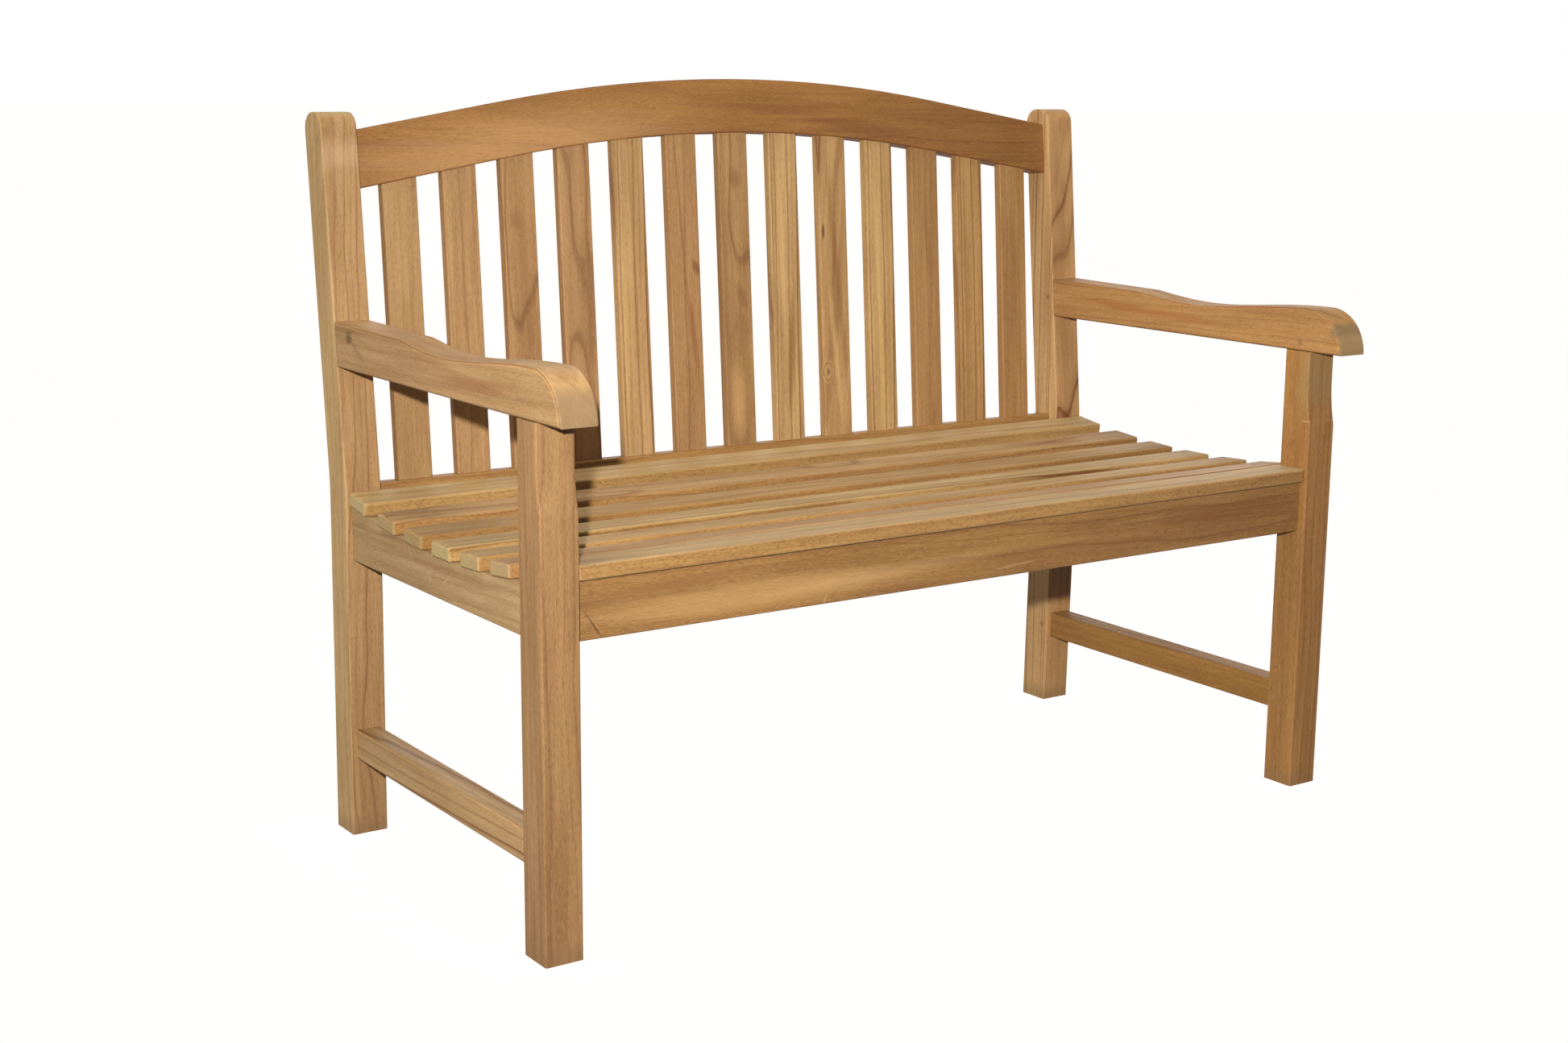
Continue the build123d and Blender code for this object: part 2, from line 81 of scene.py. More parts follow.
print("mid grey is", round(linear("#808080")[0], 3), "in linear light")

# %% [markdown]
# ## How a board lies
# Wood has a direction. Each board's own axes are its grain, the way across its width, and its side,
# which is the way its flat sawn face looks. Boards that lean, such as the back slats, are measured
# from their mesh: the mean direction of the faces that look roughly the right way.
# One Mapping node then turns the bench's metres into the board's own millimetres.

# %% Board axes
Board = namedtuple("Board", "centre grain side turn")
LENGTHWISE, CROSSWISE, UPRIGHT = Vector((1, 0, 0)), Vector((0, 1, 0)), Vector((0, 0, 1))
TO_FRONT = Vector((0, -1, 0))
NEARLY = math.cos(math.radians(25))


def broad_face(name, toward):
    """The mean direction of a node's faces that look roughly that way."""
    total = Vector()
    for face in nodes[name].data.polygons:
        if face.normal.dot(toward) > NEARLY:
            total += face.normal * face.area
    return total.normalized()


def lay_board(name, grain, side):
    """A board's middle, its axes, and the turn from the bench's axes to its own."""
    low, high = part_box(name)
    across = side.cross(grain)
    turn = Matrix((grain, across, side)).transposed().to_euler()
    return Board((low + high) / 2, grain, side, turn)


back_face = broad_face("lower_back_rail", TO_FRONT)
rake = math.degrees(back_face.angle(TO_FRONT))
print("the back leans", round(rake, 1), "degrees")

# %% [markdown]
# ## Figure
# A tree grows a ring a year, and a board shows wherever the saw met those rings. So the figure isn't
# painted on: each board is a slice of a log whose centre, the pith, is some way off. The distance to
# the pith, bent a little along the log, gives the rings. A pith far out to one side gives straight
# lines, one behind the face gives the pointed arches of flat-sawn wood, and the ends show arcs,
# all from the same few nodes. Sizes are in millimetres.

# %% Kinds of figure
Figure = namedtuple("Figure", "pith ring strength wander slope")
STRAIGHT = Figure(pith=(190, 35), ring=10.0, strength=0.95, wander=9, slope=0.6)
RIFT = Figure(pith=(85, 95), ring=9.0, strength=0.38, wander=16, slope=1.0)
ARCHED = Figure(pith=(6, 58), ring=9.5, strength=0.58, wander=26, slope=0.5)
PLAIN = Figure(pith=(120, 150), ring=11.0, strength=0.22, wander=16, slope=0.8)
SLANTED = Figure(pith=(20, 90), ring=13.0, strength=0.95, wander=12, slope=5.0)

LOG_STEP = 2300  # along the log from one board's slice to the next one's
BEND_LENGTH, BEND_WIDTH = 420, 95  # how slowly the rings wander
CLOUD_LENGTH, CLOUD_WIDTH = 300, 42  # patches of lighter and darker heartwood
STREAK_LENGTH, STREAK_WIDTH = 220, 7  # the widest fibre streaks; each octave halves them
TORN_LENGTH, TORN_WIDTH = 5, 2.2  # fibres torn by the saw on edges that were never planed
PORE_LENGTH, PORE_WIDTH = 6, 0.8  # real pores are 0.3 wide, drawn coarser so that they show


def log_noise(tree, log, length, width, detail, roughness=0.5):
    """Noise stretched along the grain: so many millimetres long and wide."""
    drawn = add_node(tree, "Mapping", {"Vector": log, "Scale": (1 / length, 1 / width, 1 / width)})
    return add_node(tree, "TexNoise", {
        "Vector": drawn.outputs["Vector"], "Scale": 1.0, "Detail": detail, "Roughness": roughness})


# %% [markdown]
# ### Rings
# Across one year the wood goes from open and pale to dense, and starts again with a sharp dark line.
# A colour ramp holds that profile. Its input is the distance to the pith in years, with the whole
# years cut off. Years differ in width and in how dark their line is, so two slow noises along the
# years vary both.

# %% Rings
YEAR_PROFILE = ((0.0, 1.0), (0.08, 0.9), (0.20, 0.15), (0.50, 0.0), (0.85, 0.25), (1.0, 0.5))
YEAR_DRIFT = 3.0  # by how many years the ring widths run ahead or behind


def ring_pattern(tree, log, figure, swell):
    """From 0, between rings, to 1 at the dark line where a year's growth starts."""
    bend = log_noise(tree, log, BEND_LENGTH, BEND_WIDTH, 2.0)
    centred = add_node(tree, "VectorMath", {
        0: bend.outputs["Color"], 1: (0.5, 0.5, 0.5)}, operation="SUBTRACT")
    bent = add_node(tree, "VectorMath", {
        0: centred.outputs[0], 1: [2 * figure.wander] * 3, 2: log}, operation="MULTIPLY_ADD")
    across = add_node(tree, "VectorMath", {0: bent.outputs[0], 1: (0, 1, 1)}, operation="MULTIPLY")
    radius = add_node(tree, "VectorMath", {0: across.outputs[0]}, operation="LENGTH")
    swollen = add_node(tree, "Math", {0: radius.outputs["Value"], 1: swell}, operation="ADD")
    years = add_node(tree, "Math", {0: swollen.outputs[0], 1: figure.ring}, operation="DIVIDE")
    uneven = add_node(tree, "TexNoise", {
        "W": years.outputs[0], "Scale": 0.35, "Detail": 1.0}, noise_dimensions="1D")
    shifted = add_node(tree, "Math", {
        0: uneven.outputs[0], 1: YEAR_DRIFT, 2: years.outputs[0]}, operation="MULTIPLY_ADD")
    year = add_node(tree, "Math", {0: shifted.outputs[0]}, operation="FRACT")
    line = add_node(tree, "ValToRGB", {"Fac": year.outputs[0]})
    stops = line.color_ramp.elements
    while len(stops) < len(YEAR_PROFILE):
        stops.new(0.5)
    for stop, (position, shade) in zip(stops, YEAR_PROFILE):
        stop.position, stop.color = position, (shade, shade, shade, 1)
    strong_years = add_node(tree, "TexNoise", {
        "W": years.outputs[0], "Scale": 0.9, "Detail": 0.0}, noise_dimensions="1D")
    depth = add_node(tree, "MapRange", {
        "Value": strong_years.outputs[0], "From Min": 0.40, "From Max": 0.65, "To Min": 0.25},
        interpolation_type="SMOOTHSTEP")
    return add_node(tree, "Math", {
        0: line.outputs["Color"], 1: depth.outputs["Result"]}, operation="MULTIPLY").outputs[0]


print("rings are", STRAIGHT.ring, "to", SLANTED.ring, "mm apart")

# %% [markdown]
# ## Teak
# Bare teak, planed and sanded but not oiled: golden brown, with an open grain that shows as short
# dark pores, and almost no gloss. One material could hold it all in a single tangle of nodes. It is
# easier to follow as layers, in the order in which the real board got them: what grew, what the
# workshop did, and what happened since. Each layer is a colour laid on through a mask.

# %% Layers of colour
def tinted(colour, red, green, blue):
    """A linear colour with its channels scaled."""
    return [colour[0] * red, colour[1] * green, colour[2] * blue, 1.0]


def layer(tree, below, above, mask, depth=1.0, low=0.0, high=1.0, how="MIX"):
    """Lay a colour on, up to the given depth, as the mask goes smoothly from low to high."""
    amount = add_node(tree, "MapRange", {
        "Value": mask, "From Min": low, "From Max": high, "To Max": depth},
        interpolation_type="SMOOTHSTEP")
    mixed = add_node(tree, "MixRGB", {
        "Fac": amount.outputs["Result"], "Color1": below, "Color2": above}, blend_type=how)
    return mixed.outputs["Color"]


print("a tone darkened by a tenth:", [round(c, 3) for c in tinted(linear("#a27d51"), 0.9, 0.9, 0.9)])

# %% [markdown]
# ### What grew
# Heartwood is cloudy, with patches of lighter and darker wood. Over them lie the rings, then fibre
# streaks, then the pores: open ones are dark, and sanding dust fills others and makes them pale.

# %% Heartwood
Grain = namedtuple("Grain", "rings clouds streaks fibres pores open_pores")
RING_LINE, STREAK, PORE, DUST = [linear(code) for code in ("#a27c55", "#c2a37f", "#93714c", "#dcbc93")]
DARK_HEARTWOOD, LIGHT_HEARTWOOD = (0.88, 0.85, 0.80), (1.12, 1.14, 1.16)
STREAK_DEPTH, PORE_DEPTH, DUST_DEPTH = 0.24, 0.30, 0.09


def log_grain(tree, log, figure, swell):
    """The patterns of one slice of a log."""
    streaks = log_noise(tree, log, STREAK_LENGTH, STREAK_WIDTH, 5.0, 0.62).outputs["Fac"]
    fibres = add_node(tree, "MapRange", {
        "Value": streaks, "From Min": 0.30, "From Max": 0.70}, interpolation_type="SMOOTHSTEP")
    pores = log_noise(tree, log, PORE_LENGTH, PORE_WIDTH, 1.0).outputs["Fac"]
    open_pores = add_node(tree, "MapRange", {
        "Value": pores, "From Min": 0.56, "From Max": 0.70}, interpolation_type="SMOOTHSTEP")
    clouds = log_noise(tree, log, CLOUD_LENGTH, CLOUD_WIDTH, 4.0, 0.58).outputs["Fac"]
    return Grain(ring_pattern(tree, log, figure, swell), clouds, streaks, fibres.outputs["Result"],
                 pores, open_pores.outputs["Result"])


def heartwood(tree, grain, face, ring_strength):
    """The colour of freshly cut wood, around the tone of its broad face."""
    colour = layer(tree, tinted(face, *DARK_HEARTWOOD), tinted(face, *LIGHT_HEARTWOOD), grain.clouds,
                   low=0.32, high=0.68)
    ringed = add_node(tree, "Math", {0: grain.rings, 1: ring_strength}, operation="MULTIPLY")
    colour = add_node(tree, "MixRGB", {
        "Fac": ringed.outputs[0], "Color1": colour, "Color2": RING_LINE},
        blend_type="MULTIPLY").outputs["Color"]
    colour = layer(tree, colour, STREAK, grain.fibres, STREAK_DEPTH, low=1.0, high=0.0, how="MULTIPLY")
    colour = layer(tree, colour, PORE, grain.open_pores, PORE_DEPTH, how="MULTIPLY")
    dusty_pores = add_node(tree, "MapRange", {
        "Value": grain.pores, "From Min": 0.42, "From Max": 0.30}, interpolation_type="SMOOTHSTEP")
    return layer(tree, colour, DUST, dusty_pores.outputs["Result"], DUST_DEPTH)


print("pores are", PORE_LENGTH, "by", PORE_WIDTH, "mm")

# %% [markdown]
# ### What the workshop did
# Some of the look follows the shape rather than the log. Cut ends show open fibres, so they have a
# colour of their own. The narrow faces take a tint: on the seat they keep more of the saw and are
# speckled with torn fibres, and on the legs the tint is painted shade, darker fronts and backs
# against the sides that the light falls on more. The eased edges are tinted a little darker.
# All three are read from the surface's direction against the board's axes, so that no face has to
# be marked by hand.

# %% Faces, ends and eased edges
END_DEPTH, ARRIS_DEPTH = 0.75, 0.80


def along(tree, normal, axis):
    """How squarely the surface faces along an axis, from 0 to 1."""
    dot = add_node(tree, "VectorMath", {0: normal, 1: axis}, operation="DOT_PRODUCT")
    return add_node(tree, "Math", {0: dot.outputs["Value"]}, operation="ABSOLUTE").outputs[0]


def worked(tree, colour, log, squarely, endwise, edge, end_colour, sawn):
    """The narrow faces' tint and torn fibres, and the cut ends."""
    narrow_face = add_node(tree, "MapRange", {
        "Value": squarely, "From Min": 0.55, "From Max": 0.25},
        interpolation_type="SMOOTHSTEP").outputs["Result"]
    colour = add_node(tree, "MixRGB", {
        "Fac": narrow_face, "Color1": colour, "Color2": edge}, blend_type="MULTIPLY").outputs["Color"]
    if sawn:
        torn = log_noise(tree, log, TORN_LENGTH, TORN_WIDTH, 2.0)
        flecks = add_node(tree, "MapRange", {
            "Value": torn.outputs["Fac"], "From Min": 0.48, "From Max": 0.66, "To Max": sawn},
            interpolation_type="SMOOTHSTEP")
        speckle = add_node(tree, "Math", {
            0: flecks.outputs["Result"], 1: narrow_face}, operation="MULTIPLY")
        colour = add_node(tree, "MixRGB", {
            "Fac": speckle.outputs[0], "Color1": colour, "Color2": PORE},
            blend_type="MULTIPLY").outputs["Color"]
    end_face = add_node(tree, "MapRange", {
        "Value": endwise, "From Min": 0.55, "From Max": 0.95}, interpolation_type="SMOOTHSTEP")
    return layer(tree, colour, end_colour, end_face.outputs["Result"], END_DEPTH)


def eased(tree, colour, squarely, arris):
    """Tint the rounding between a broad and a narrow face."""
    turned_from_edge = add_node(tree, "MapRange", {
        "Value": squarely, "From Min": 0.35, "From Max": 0.60}, interpolation_type="SMOOTHSTEP")
    turned_from_face = add_node(tree, "MapRange", {
        "Value": squarely, "From Min": 0.93, "From Max": 0.80}, interpolation_type="SMOOTHSTEP")
    rounded = add_node(tree, "Math", {
        0: turned_from_edge.outputs["Result"], 1: turned_from_face.outputs["Result"]},
        operation="MULTIPLY")
    return layer(tree, colour, arris, rounded.outputs[0], ARRIS_DEPTH, how="MULTIPLY")


print("ends are mixed in at", END_DEPTH, "and edges tinted at", ARRIS_DEPTH)

# %% [markdown]
# ### Knots, marks and damp
# No board is without its own history. A mark is an ellipse on the broad face. Its middle, half its
# length and half its width are in the board's millimetres, its turn is in degrees, and the fibres
# make its rim ragged. A knot is a dark spot that the rings flow round, because a branch grew there.
# Feet stand in the wet and darken just above the ground.

# %% Knots, marks and damp
Mark = namedtuple("Mark", "along across long wide turn colour depth")
SMUDGE = linear("#6f5436")
KNOT_DEPTH, DAMP_DEPTH = 0.7, 0.8
KNOT_STRETCH = 1.7  # a knot is this much longer than it is wide
KNOT_REACH, KNOT_SWELL = 4.5, 2.4  # how many radii the rings are bent over, and by how many years
RAGGED = 1.3  # how far the fibres move a mark's rim, in radii
DAMP_TOP, DAMP_END = 0.004, 0.030  # metres above the ground, from full to gone
THROUGH = 1e6  # a mark goes through the board, so it is endless in the third direction


def mark_spot(tree, board_mm, along_mm, across_mm, long, wide, turn):
    """Distance from a mark's middle, 1 at its rim."""
    place = add_node(tree, "Mapping", {
        "Vector": board_mm, "Location": (along_mm, across_mm, 0),
        "Rotation": (0, 0, math.radians(turn)), "Scale": (long, wide, THROUGH)},
        vector_type="TEXTURE")
    node = add_node(tree, "VectorMath", {0: place.outputs["Vector"]}, operation="LENGTH")
    return node.outputs["Value"]


def marked(tree, colour, board_mm, streaks, marks):
    """Lay every mark of a board on its colour."""
    for mark in marks:
        spot = mark_spot(tree, board_mm, *mark[:5])
        ragged = add_node(tree, "Math", {0: streaks, 1: RAGGED, 2: spot}, operation="MULTIPLY_ADD")
        colour = layer(tree, colour, linear(mark.colour), ragged.outputs[0], mark.depth,
                       low=1.8, high=0.9)
    return colour


def damp_foot(tree, colour, place, clouds):
    """Darken the last centimetres of a leg, in patches."""
    height = add_node(tree, "SeparateXYZ", {"Vector": place})
    low_down = add_node(tree, "MapRange", {
        "Value": height.outputs["Z"], "From Min": DAMP_TOP, "From Max": DAMP_END,
        "To Min": DAMP_DEPTH, "To Max": 0.0}, interpolation_type="SMOOTHSTEP")
    damp = add_node(tree, "Math", {0: low_down.outputs["Result"], 1: clouds}, operation="MULTIPLY")
    return add_node(tree, "MixRGB", {
        "Fac": damp.outputs[0], "Color1": colour, "Color2": SMUDGE}).outputs["Color"]


print("feet are damp up to", DAMP_END * 1000, "mm")

# %% [markdown]
# ### The finished board
# The layers meet in one Principled shader. Teak's index of refraction is that of any wood, about 1.5,
# but dry open fibres return less gloss than the index suggests. Fibres that stand up are smoother
# from the sander than the grooves between them, and the pores are cut a little deeper.

# %% Sanded teak
TEAK_IOR, SPECULAR = 1.5, 0.35
GROOVE_ROUGHNESS, FIBRE_ROUGHNESS = 0.74, 0.58
RELIEF, RELIEF_STRENGTH = 0.0004, 0.55  # metres from groove to fibre, and how much of it shows
PORE_CUT = 0.8  # the depth of a pore, as a part of the same relief


def sanded_teak(name, board, tone, figure, number, edge="#ffffff", ends=(0.84, 0.86, 0.84),
                arris="#ede2d6", sawn=0.0, knots=(), marks=(), foot=False):
    """Sanded, unoiled teak for one board: warm, dry and matt. The tone is its broad face's colour."""
    material = bpy.data.materials.new("sanded_teak_" + name)
    material.use_nodes = True
    tree = material.node_tree
    tree.nodes.clear()
    surface = add_node(tree, "TexCoord", {})
    board_mm = add_node(tree, "Mapping", {
        "Vector": surface.outputs["Object"], "Location": board.centre, "Rotation": board.turn,
        "Scale": (0.001, 0.001, 0.001)}, vector_type="TEXTURE").outputs["Vector"]
    log = add_node(tree, "Mapping", {
        "Vector": board_mm, "Location": (LOG_STEP * number, *figure.pith),
        "Rotation": (0, 0, math.radians(figure.slope))}).outputs["Vector"]

    hearts, swell = [], 0.0
    for along_mm, across_mm, size in knots:
        hearts.append(mark_spot(tree, board_mm, along_mm, across_mm, KNOT_STRETCH * size, size, 0))
        rise = add_node(tree, "MapRange", {
            "Value": hearts[-1], "From Max": KNOT_REACH, "To Min": KNOT_SWELL * figure.ring,
            "To Max": 0.0}, interpolation_type="SMOOTHSTEP")
        swell = add_node(tree, "Math", {
            0: rise.outputs["Result"], 1: swell}, operation="ADD").outputs[0]

    grain = log_grain(tree, log, figure, swell)
    squarely = along(tree, surface.outputs["Normal"], board.side)
    endwise = along(tree, surface.outputs["Normal"], board.grain)
    face = linear(tone)
    colour = heartwood(tree, grain, face, figure.strength)
    colour = worked(tree, colour, log, squarely, endwise, linear(edge), tinted(face, *ends), sawn)
    for heart in hearts:
        colour = layer(tree, colour, SMUDGE, heart, KNOT_DEPTH, low=1.3, high=0.7)
    colour = marked(tree, colour, board_mm, grain.streaks, marks)
    colour = eased(tree, colour, squarely, linear(arris))
    if foot:
        colour = damp_foot(tree, colour, surface.outputs["Object"], grain.clouds)

    pore_depth = add_node(tree, "MapRange", {
        "Value": grain.open_pores, "To Max": PORE_CUT}, interpolation_type="SMOOTHSTEP")
    relief = add_node(tree, "Math", {
        0: grain.fibres, 1: pore_depth.outputs["Result"]}, operation="SUBTRACT")
    bump = add_node(tree, "Bump", {
        "Strength": RELIEF_STRENGTH, "Distance": RELIEF, "Height": relief.outputs[0]})
    roughness = add_node(tree, "MapRange", {
        "Value": grain.fibres, "To Min": GROOVE_ROUGHNESS, "To Max": FIBRE_ROUGHNESS},
        interpolation_type="SMOOTHSTEP")
    shader = add_node(tree, "BsdfPrincipled", {
        "Base Color": colour, "Roughness": roughness.outputs["Result"],
        "Normal": bump.outputs["Normal"], "IOR": TEAK_IOR, "Specular IOR Level": SPECULAR})
    add_node(tree, "OutputMaterial", {"Surface": shader.outputs["BSDF"]})
    return material


print("fibres stand", RELIEF * 1000, "mm above the grooves")

# %% [markdown]
# ## Dressing the boards
# Every board is numbered, so that each takes its own slice of the log. Its tone is a colour of its
# own, matched to that board of the real bench, because one delivery of teak has boards that are
# pinker and boards that are yellower. The layers and the lamps shift a tone a little, so each was set
# by what came out.

# %% Put a finish on a node
dressed = []


def dress(name, grain, side, tone, figure, **extras):
    """Give one board its own piece of teak."""
    board = lay_board(name, grain, side)
    number = len(dressed) + 1
    wood = sanded_teak(name, board, tone, figure, number, **extras)
    nodes[name].material_slots[0].material = wood
    dressed.append(name)


# %% [markdown]
# ### Back
# Thirteen thin slats stand between two rails. They are the boards whose faces are seen best, so
# each has a tone and a figure, and most have marks of their own. Marks are drawn with the grain, as
# mineral streaks are.

# %% Crest rail and lower rail
dress("crest_rail", LENGTHWISE, back_face, "#8e6230",
      Figure(pith=(-40, 70), ring=7.0, strength=0.34, wander=18, slope=0.3),
      marks=[Mark(360, -20, 330, 90, -5, "#6e3d18", 0.22),
             Mark(-330, -20, 300, 60, 6, "#dcae7a", 0.22),
             Mark(200, 4, 110, 12, -6, "#6e3f1d", 0.5), Mark(60, 30, 190, 6, -2, "#7c4a25", 0.42)])
dress("lower_back_rail", LENGTHWISE, back_face, "#9d743e", RIFT)

# %% Back slats
SLAT_EDGE = "#fffcf8"
slat_woods = [
    ("#9d7a4e", PLAIN), ("#a27d51", RIFT), ("#9f794d", ARCHED), ("#a37d51", ARCHED),
    ("#ac895a", STRAIGHT), ("#9a7448", RIFT), ("#9a7649", ARCHED), ("#ac8a5a", STRAIGHT),
    ("#ad8857", SLANTED), ("#b2905d", STRAIGHT), ("#9c7546", PLAIN), ("#a9824f", STRAIGHT),
    ("#a07848", PLAIN),
]
slat_marks = {
    1: [Mark(-40, -8, 150, 6, 1, "#8a5f38", 0.30)],
    3: [Mark(120, 6, 18, 10, 10, "#7b5230", 0.5), Mark(-30, -8, 34, 7, 0, "#7b5230", 0.45)],
    5: [Mark(40, -3, 230, 3, 1, "#8a5c2a", 0.55), Mark(-60, 14, 200, 4, -1, "#d0a35c", 0.3)],
    6: [Mark(34, -18, 15, 7, 20, "#6b4020", 0.75), Mark(-50, -8, 80, 5, 6, "#7a4a26", 0.55),
        Mark(120, 6, 120, 2.5, 3, "#7a4a26", 0.5)],
    7: [Mark(155, -2, 20, 13, 15, "#6f4a28", 0.55), Mark(-10, -8, 30, 10, 25, "#6f4a28", 0.45),
        Mark(-150, 4, 60, 14, 0, "#c79a62", 0.35)],
    8: [Mark(-113, -3, 105, 7, -3, "#7a4c22", 0.62), Mark(80, 8, 150, 6, 1, "#d0a76c", 0.4)],
    9: [Mark(80, 18, 14, 3, 0, "#4f3018", 0.85), Mark(20, -4, 200, 7, 5, "#7c4f27", 0.55),
        Mark(-90, 2, 130, 6, 5, "#cfa66b", 0.4)],
    10: [Mark(-60, 4, 190, 5, 1, "#d3ac66", 0.35), Mark(60, -12, 150, 4, 0, "#9a6f38", 0.4)],
    11: [Mark(60, -4, 100, 8, 3, "#7a5026", 0.38)],
    12: [Mark(0, 10, 200, 3, 0, "#8a5e2c", 0.45)],
}
slat_knots = {9: [(-121, 16, 2.6)]}  # along, across and radius, in the board's millimetres
for place, (tone, figure) in enumerate(slat_woods, start=1):
    name = f"back_slat_{place:02d}"
    face = broad_face(name, TO_FRONT)
    dress(name, face.cross(LENGTHWISE), face, tone, figure, edge=SLAT_EDGE,
          knots=slat_knots.get(place, ()), marks=slat_marks.get(place, ()))
print(len(slat_woods), "back slats dressed")

# %% [markdown]
# ### Seat
# The seven seat slats follow the dish, so each leans its own way and is measured for itself. Their
# tops are paler and greyer than the wood, a painted sheen of the white room glancing off them, and
# their cut ends are as pale as their tops. Their long edges come straight from the saw, so they are
# warmer and speckled with torn fibres, and their tints also take that painted sheen back off them.

# %% Seat slats, apron and bearer
# Painted sheen: each seat tone is its top's colour, paler and greyer for the room's reflection, and
# the edge tints take that back off the long edges.
FRONT_EDGE, SAWN_EDGE = "#f0dcba", "#fdeed6"
SEAT_ENDS = (0.98, 1.14, 1.28)
SEAT_SPECKLE = 0.3
seat_woods = [
    ("#a58a60", RIFT), ("#a58357", STRAIGHT), ("#a58655", RIFT), ("#a88d5c", STRAIGHT),
    ("#9b7b4a", RIFT), ("#a07f50", ARCHED), ("#ae9160", RIFT),
]
for place, (tone, figure) in enumerate(seat_woods, start=1):
    name = f"seat_slat_{place}"
    edge = FRONT_EDGE if place == 1 else SAWN_EDGE
    dress(name, LENGTHWISE, broad_face(name, UPRIGHT), tone, figure, edge=edge, ends=SEAT_ENDS,
          sawn=SEAT_SPECKLE)
# The apron's broad pale patches towards its left end and dark ones towards its right are partly the
# wood and partly painted light: together they make it lighter at the left and darker at the right, as
# the light falls off across it.
dress("front_apron", LENGTHWISE, TO_FRONT, "#896335", RIFT, marks=[
    Mark(-540, -17, 24, 1.8, -56, "#3c220e", 0.9), Mark(-430, 15, 140, 9, 3, "#7a4f28", 0.5),
    Mark(-330, -10, 260, 22, 0, "#bf955f", 0.4), Mark(430, 6, 160, 20, -3, "#70431f", 0.5),
    Mark(-120, -6, 220, 10, 2, "#c9a06c", 0.20), Mark(150, -12, 260, 9, -1, "#7c4f28", 0.35),
    Mark(60, -22, 40, 1.2, 4, "#d2b288", 0.2), Mark(-230, -30, 12, 1.2, 70, "#d2b288", 0.3)])
dress("centre_bearer", CROSSWISE, LENGTHWISE, "#966d44", PLAIN)
print(len(seat_woods), "seat slats dressed")

# %% [markdown]
# ### Legs, rails and arms
# The ends of the bench are pairs. Nothing is mirrored: a left and a right leg are different wood.

# %% Ends
# The legs' edge colours are painted shade: they darken the fronts and backs against the sides.
dress("back_leg_left", UPRIGHT, LENGTHWISE, "#b59563", ARCHED, edge="#e7dbd8", foot=True,
      marks=[Mark(400, 6, 60, 6, 10, "#d4b08c", 0.22)])
dress("back_leg_right", UPRIGHT, LENGTHWISE, "#b48f5e", STRAIGHT, edge="#f8eee7", foot=True)
dress("front_leg_left", UPRIGHT, LENGTHWISE, "#906d43", RIFT, edge="#f4f1f0", foot=True)
dress("front_leg_right", UPRIGHT, LENGTHWISE, "#926835", ARCHED, foot=True, marks=[
    Mark(250, 12, 60, 16, 4, "#8a7348", 0.45), Mark(196, 17, 1.0, 8, 0, "#d0b68e", 0.45),
    Mark(130, 4, 70, 7, 10, "#7a4a24", 0.45)])
dress("side_rail_left", CROSSWISE, LENGTHWISE, "#a28459", RIFT, marks=[
    Mark(60, 4, 16, 1.0, 62, "#cdb084", 0.45), Mark(-40, -6, 18, 1.0, -35, "#cdb084", 0.40),
    Mark(10, -12, 14, 1.0, 80, "#cdb084", 0.40),
    Mark(-60, 2, 150, 9, -2, "#7d5a34", 0.35)])
dress("side_rail_right", CROSSWISE, LENGTHWISE, "#9a7248", RIFT)
dress("stretcher_left", CROSSWISE, LENGTHWISE, "#a9895a", STRAIGHT, edge="#e3dfda")
dress("stretcher_right", CROSSWISE, LENGTHWISE, "#8d642d", RIFT)
dress("arm_left", CROSSWISE, LENGTHWISE, "#a58255", PLAIN, arris="#c3b29c", ends=(0.46, 0.48, 0.53),
      marks=[Mark(232, 12, 12, 9, 0, "#4a3518", 0.75), Mark(-115, -5, 110, 11, -4, "#8a5c34", 0.60),
             Mark(-30, 4, 90, 5, 3, "#8a5c34", 0.4), Mark(150, -4, 80, 7, 0, "#cfae86", 0.18),
             Mark(210, -2, 26, 5, 30, "#7a5c36", 0.45)])
dress("arm_right", CROSSWISE, LENGTHWISE, "#9f7645", RIFT, arris="#d2bfa8", ends=(0.70, 0.92, 1.22),
      marks=[Mark(80, -2, 170, 9, 2, "#8a4e22", 0.45), Mark(-291, 4, 12, 12, 40, "#6b5836", 0.6)])
print(len(dressed), "boards dressed so far")

# %% [markdown]
# ### Pins and dowels
# The joints are pinned with 8 mm teak pins, cut flush, so all that shows of one is a small round
# spot. The seat's dowels stay out of sight.

# %% Pins
PIN_TONE = "#8f6a42"
for name in sorted(nodes):
    if name.startswith("pins_"):
        dress(name, LENGTHWISE, UPRIGHT, PIN_TONE, PLAIN)
    elif name.startswith("seat_dowels"):
        dress(name, UPRIGHT, LENGTHWISE, PIN_TONE, PLAIN)
print("dressed", len(dressed), "of", len(nodes), "nodes")

# %% [markdown]
# ## Studio
# The bench stands on white paper in a white room, as for a catalogue. Lamps that also lit the paper
# would leave it brighter in some places than in others. Here the paper glows white by itself, and
# the wood gets none of that light except as a faint reflection. The camera sees the room as white
# too, while the wood gets only a dim warm light from it, which makes its deep shadows red-brown.

# %% Floor and surround
FLOOR_RADIUS = 60.0  # so wide that its rim can't be told from the wall
SURROUND_LIGHT, WHITE = linear("#40301f"), linear("#ffffff")
floor_mesh = bpy.data.meshes.new("floor")
shape = bmesh.new()
bmesh.ops.create_circle(shape, cap_ends=True, segments=96, radius=FLOOR_RADIUS)
bmesh.ops.translate(shape, verts=shape.verts, vec=(bench_middle.x, bench_middle.y, cad_low.z))
shape.to_mesh(floor_mesh)
shape.free()
floor = bpy.data.objects.new("floor", floor_mesh)
scene.collection.objects.link(floor)
floor.visible_diffuse = False

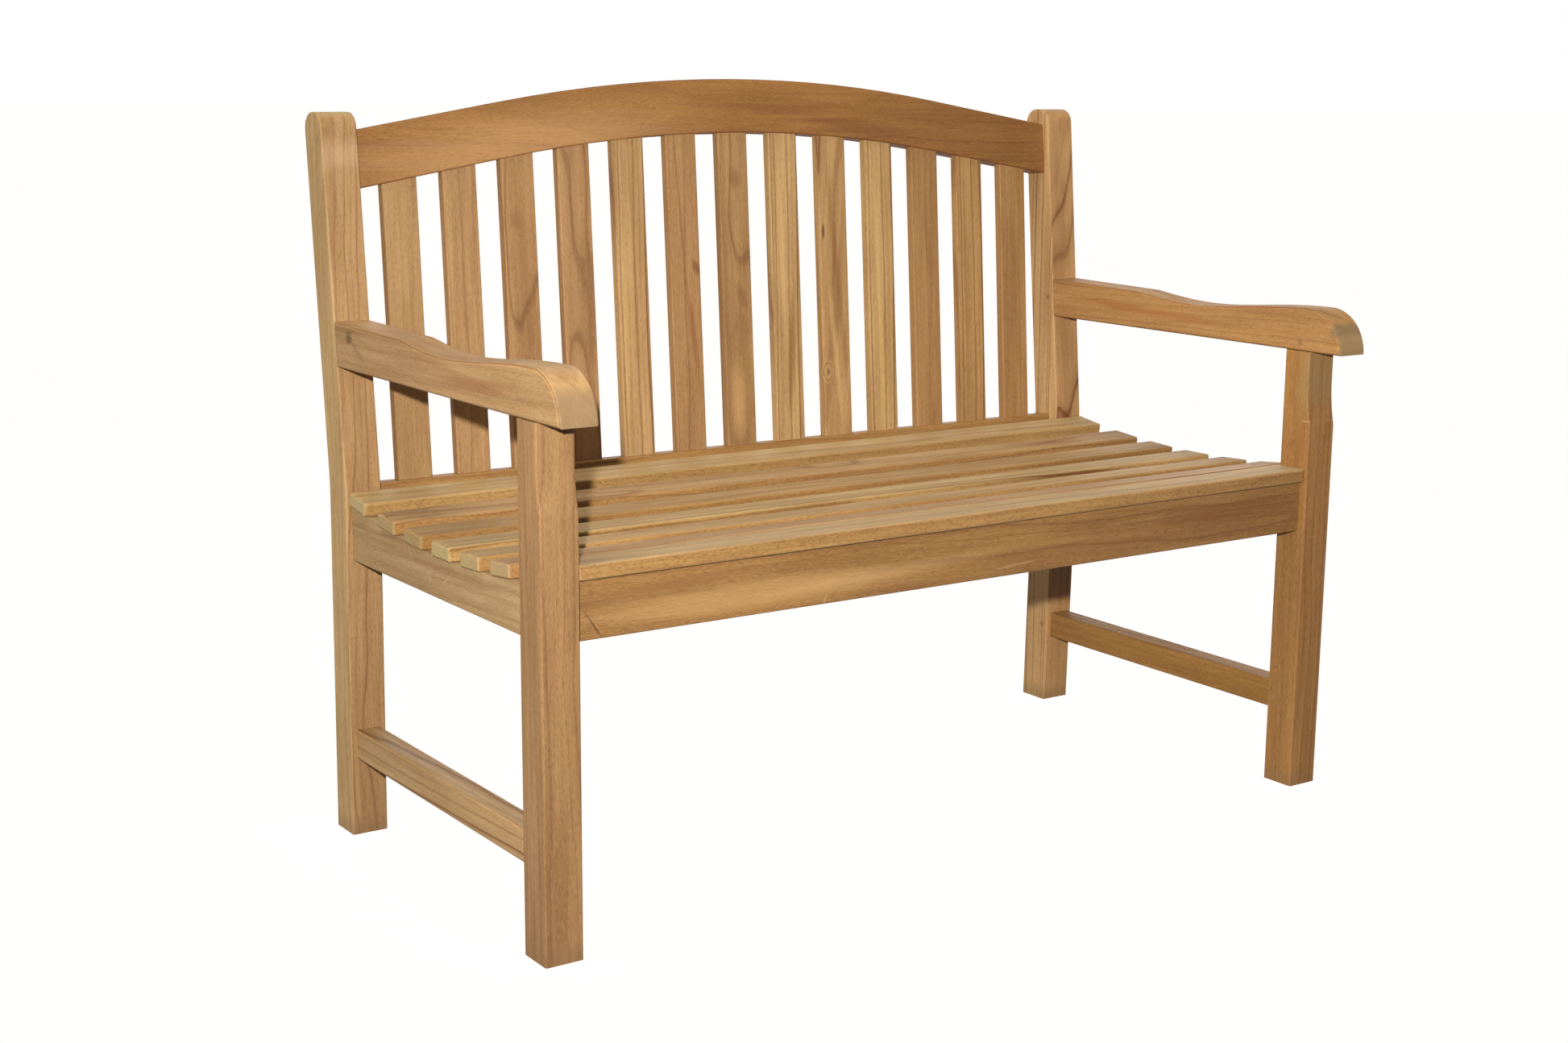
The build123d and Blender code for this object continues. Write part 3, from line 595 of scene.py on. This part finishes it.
# Uncoated paper: matt, with no gloss of its own at any angle
paper = bpy.data.materials.new("uncoated_white_paper")
paper.use_nodes = True
paper.node_tree.nodes.clear()
sheet = add_node(paper.node_tree, "BsdfPrincipled", {
    "Base Color": linear("#f3f2f0"), "Roughness": 0.9, "Specular IOR Level": 0.1,
    "Emission Color": WHITE, "Emission Strength": 0.97})
add_node(paper.node_tree, "OutputMaterial", {"Surface": sheet.outputs["BSDF"]})
floor_mesh.materials.append(paper)

scene.world = bpy.data.worlds.new("white_surround")
scene.world.use_nodes = True
sky = scene.world.node_tree
sky.nodes.clear()
seen = add_node(sky, "LightPath", {})
wall = add_node(sky, "MixRGB", {
    "Fac": seen.outputs["Is Camera Ray"], "Color1": SURROUND_LIGHT, "Color2": WHITE})
surround = add_node(sky, "Background", {"Color": wall.outputs["Color"]})
add_node(sky, "OutputWorld", {"Surface": surround.outputs["Background"]})
scene.view_settings.view_transform = "Standard"
print("the floor is at", cad_low.z)

# %% [markdown]
# ## Camera
# The camera is about a metre above the ground and three metres away, to the left of the front, with
# a 50 mm lens. It looks a little down, so that the seat shows as well as the back.

# %% Camera
HEADING, TILT, ROLL = math.radians(34.37), math.radians(-11.45), math.radians(0.45)
camera_place = bench_middle + Vector((-1.693, -2.322, 0.490))
lens = bpy.data.cameras.new("camera")
lens.lens, lens.sensor_width = 50.86, 36
camera = bpy.data.objects.new("camera", lens)
camera.location = camera_place
facing = Euler((math.pi / 2 + TILT, 0, -HEADING)).to_matrix()
camera.rotation_euler = (facing @ Matrix.Rotation(ROLL, 3, "Z")).to_euler()
scene.collection.objects.link(camera)
scene.camera = camera
print("camera at", [round(value, 2) for value in camera_place])

# %% [markdown]
# ## Lamps
# One small lamp just above the camera, and left of it, models the boards and throws the arms'
# shadows on the back, close behind the arms. Broad soft lights, which a Sun with a wide angle makes,
# fill in from above, from both sides and from behind, so that no face of the bench is left black.
# None of them lights the paper: each lamp has a collection in which the floor is excluded.

# %% Lamps
off_the_paper = bpy.data.collections.new("off_the_paper")
off_the_paper.objects.link(floor)
off_the_paper.collection_objects[0].light_linking.link_state = "EXCLUDE"


def hang(light, toward):
    """Add a lamp whose light comes from that direction and leaves the paper alone."""
    lamp = bpy.data.objects.new(light.name, light)
    lamp.rotation_euler = toward.to_track_quat("Z", "Y").to_euler()
    lamp.light_linking.receiver_collection = off_the_paper
    scene.collection.objects.link(lamp)
    return lamp


key_place = camera_place + Vector((-0.09, 0.06, 0.19))
far_end = Vector((cad_high.x, bench_middle.y, bench_middle.z))
key_light = bpy.data.lights.new("key", "SPOT")
key_light.energy, key_light.shadow_soft_size = 550, 0.03
key_light.spot_size, key_light.spot_blend = math.radians(82), 1.0
hang(key_light, key_place - far_end).location = key_place

soft_lights = [  # name, strength, spread in degrees, and where it comes from
    ("overhead", 2.1, 40, (-0.15, 0, 1)),
    ("side", 1.0, 60, (-1, 0, 0.35)),
    ("rear", 2.3, 70, (0.55, 1, 0.10)),
    ("right", 1.6, 30, (1, 0, 0.02)),
]
for name, strength, spread, toward in soft_lights:
    light = bpy.data.lights.new(name, "SUN")
    light.energy, light.angle = strength, math.radians(spread)
    hang(light, Vector(toward))
print("one lamp and", len(soft_lights), "soft lights")
